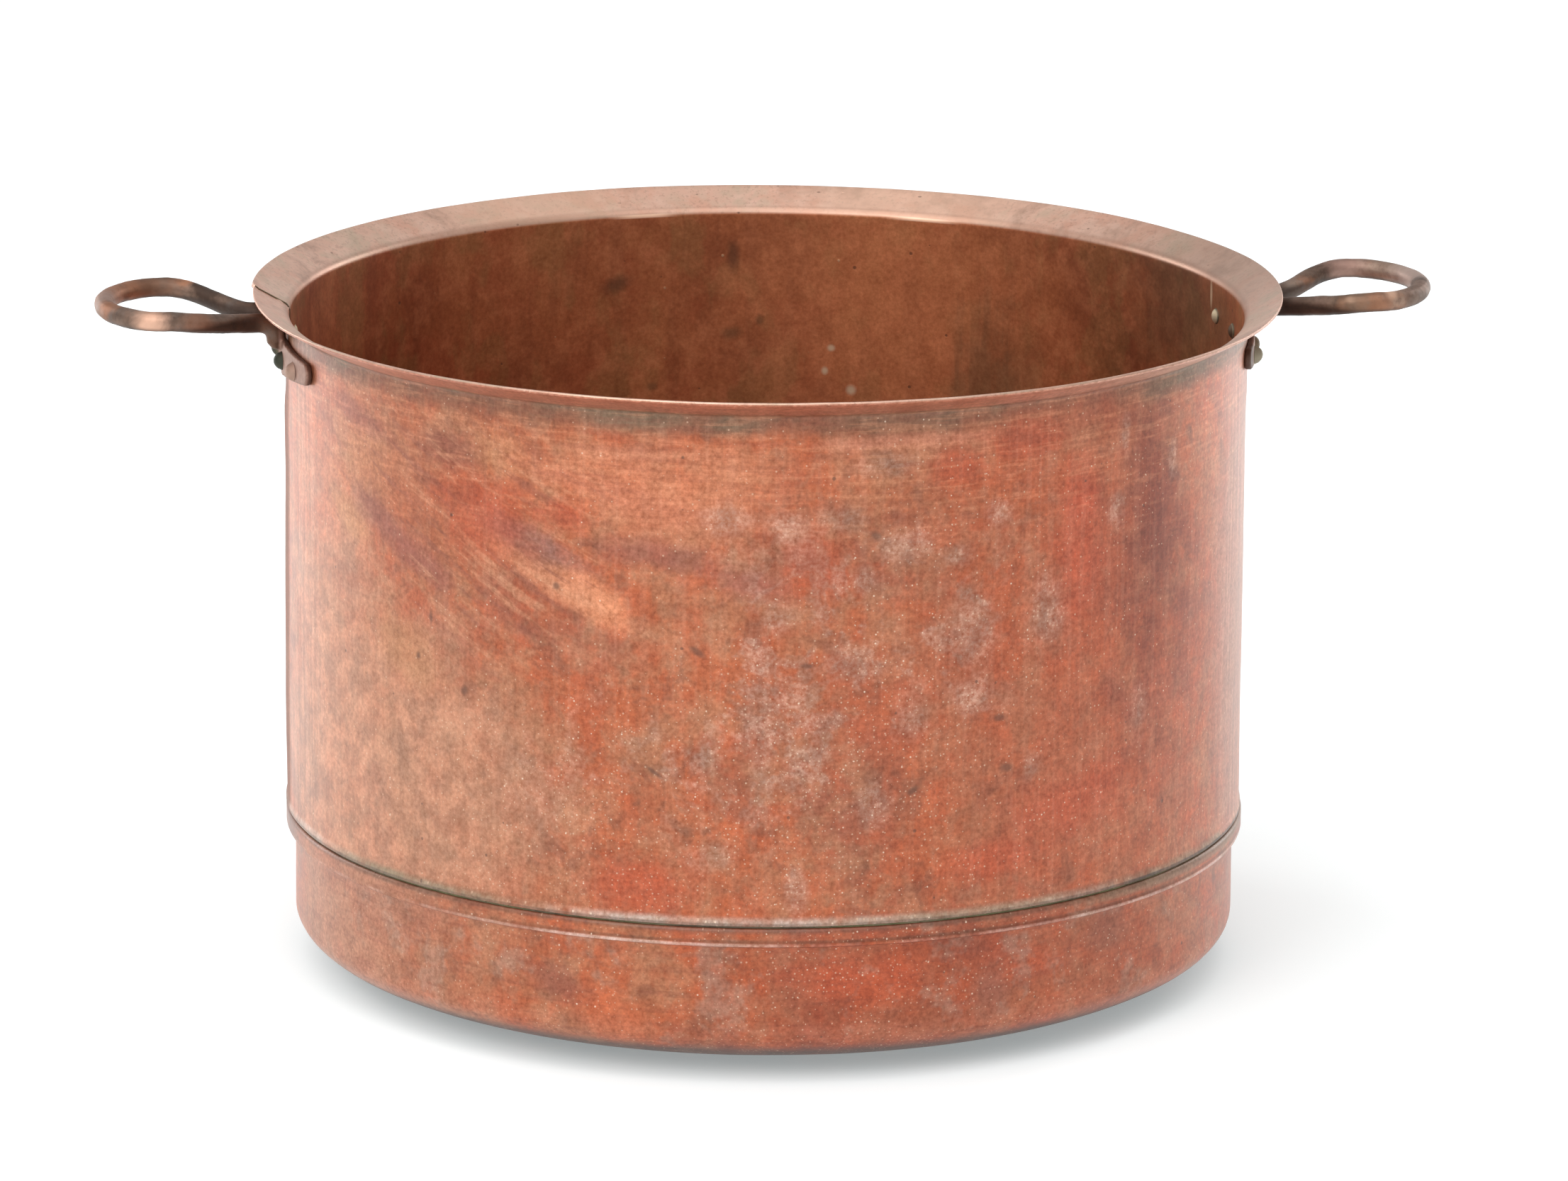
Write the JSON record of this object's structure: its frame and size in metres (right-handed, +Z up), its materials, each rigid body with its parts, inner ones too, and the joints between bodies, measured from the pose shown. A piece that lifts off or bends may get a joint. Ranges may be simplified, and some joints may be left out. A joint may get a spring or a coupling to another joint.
{
  "type": "laundry copper boiler",
  "caption": "Open round copper wash boiler with a flared rim, a raised rounded pan let into its foot and two riveted eye handles.",
  "frame": {"origin": "middle of the flat base, on the floor", "axes": "+X towards the right handle, +Y towards the back, +Z up"},
  "size_m": [0.782, 0.601, 0.401],
  "materials": {
    "shell_copper": "aged copper, satin, scratched and stained",
    "pan_copper": "aged copper, satin, heat stained",
    "forged_handle": "forged, brown, with copper coloured rubbing",
    "rivet": "copper rivet heads with a green patina",
    "solder": "dull grey tin solder with green bloom"
  },
  "bodies": {
    "root": {"shell": "shell_copper", "pan": "pan_copper", "pan_seam_solder": "solder", "side_seam_solder": "solder", "handle_right": "forged_handle", "handle_left": "forged_handle", "rivet_right_1": "rivet", "rivet_right_2": "rivet", "rivet_right_3": "rivet", "rivet_right_4": "rivet", "rivet_left_1": "rivet", "rivet_left_2": "rivet", "rivet_left_3": "rivet", "rivet_left_4": "rivet"}
  },
  "joints": []
}
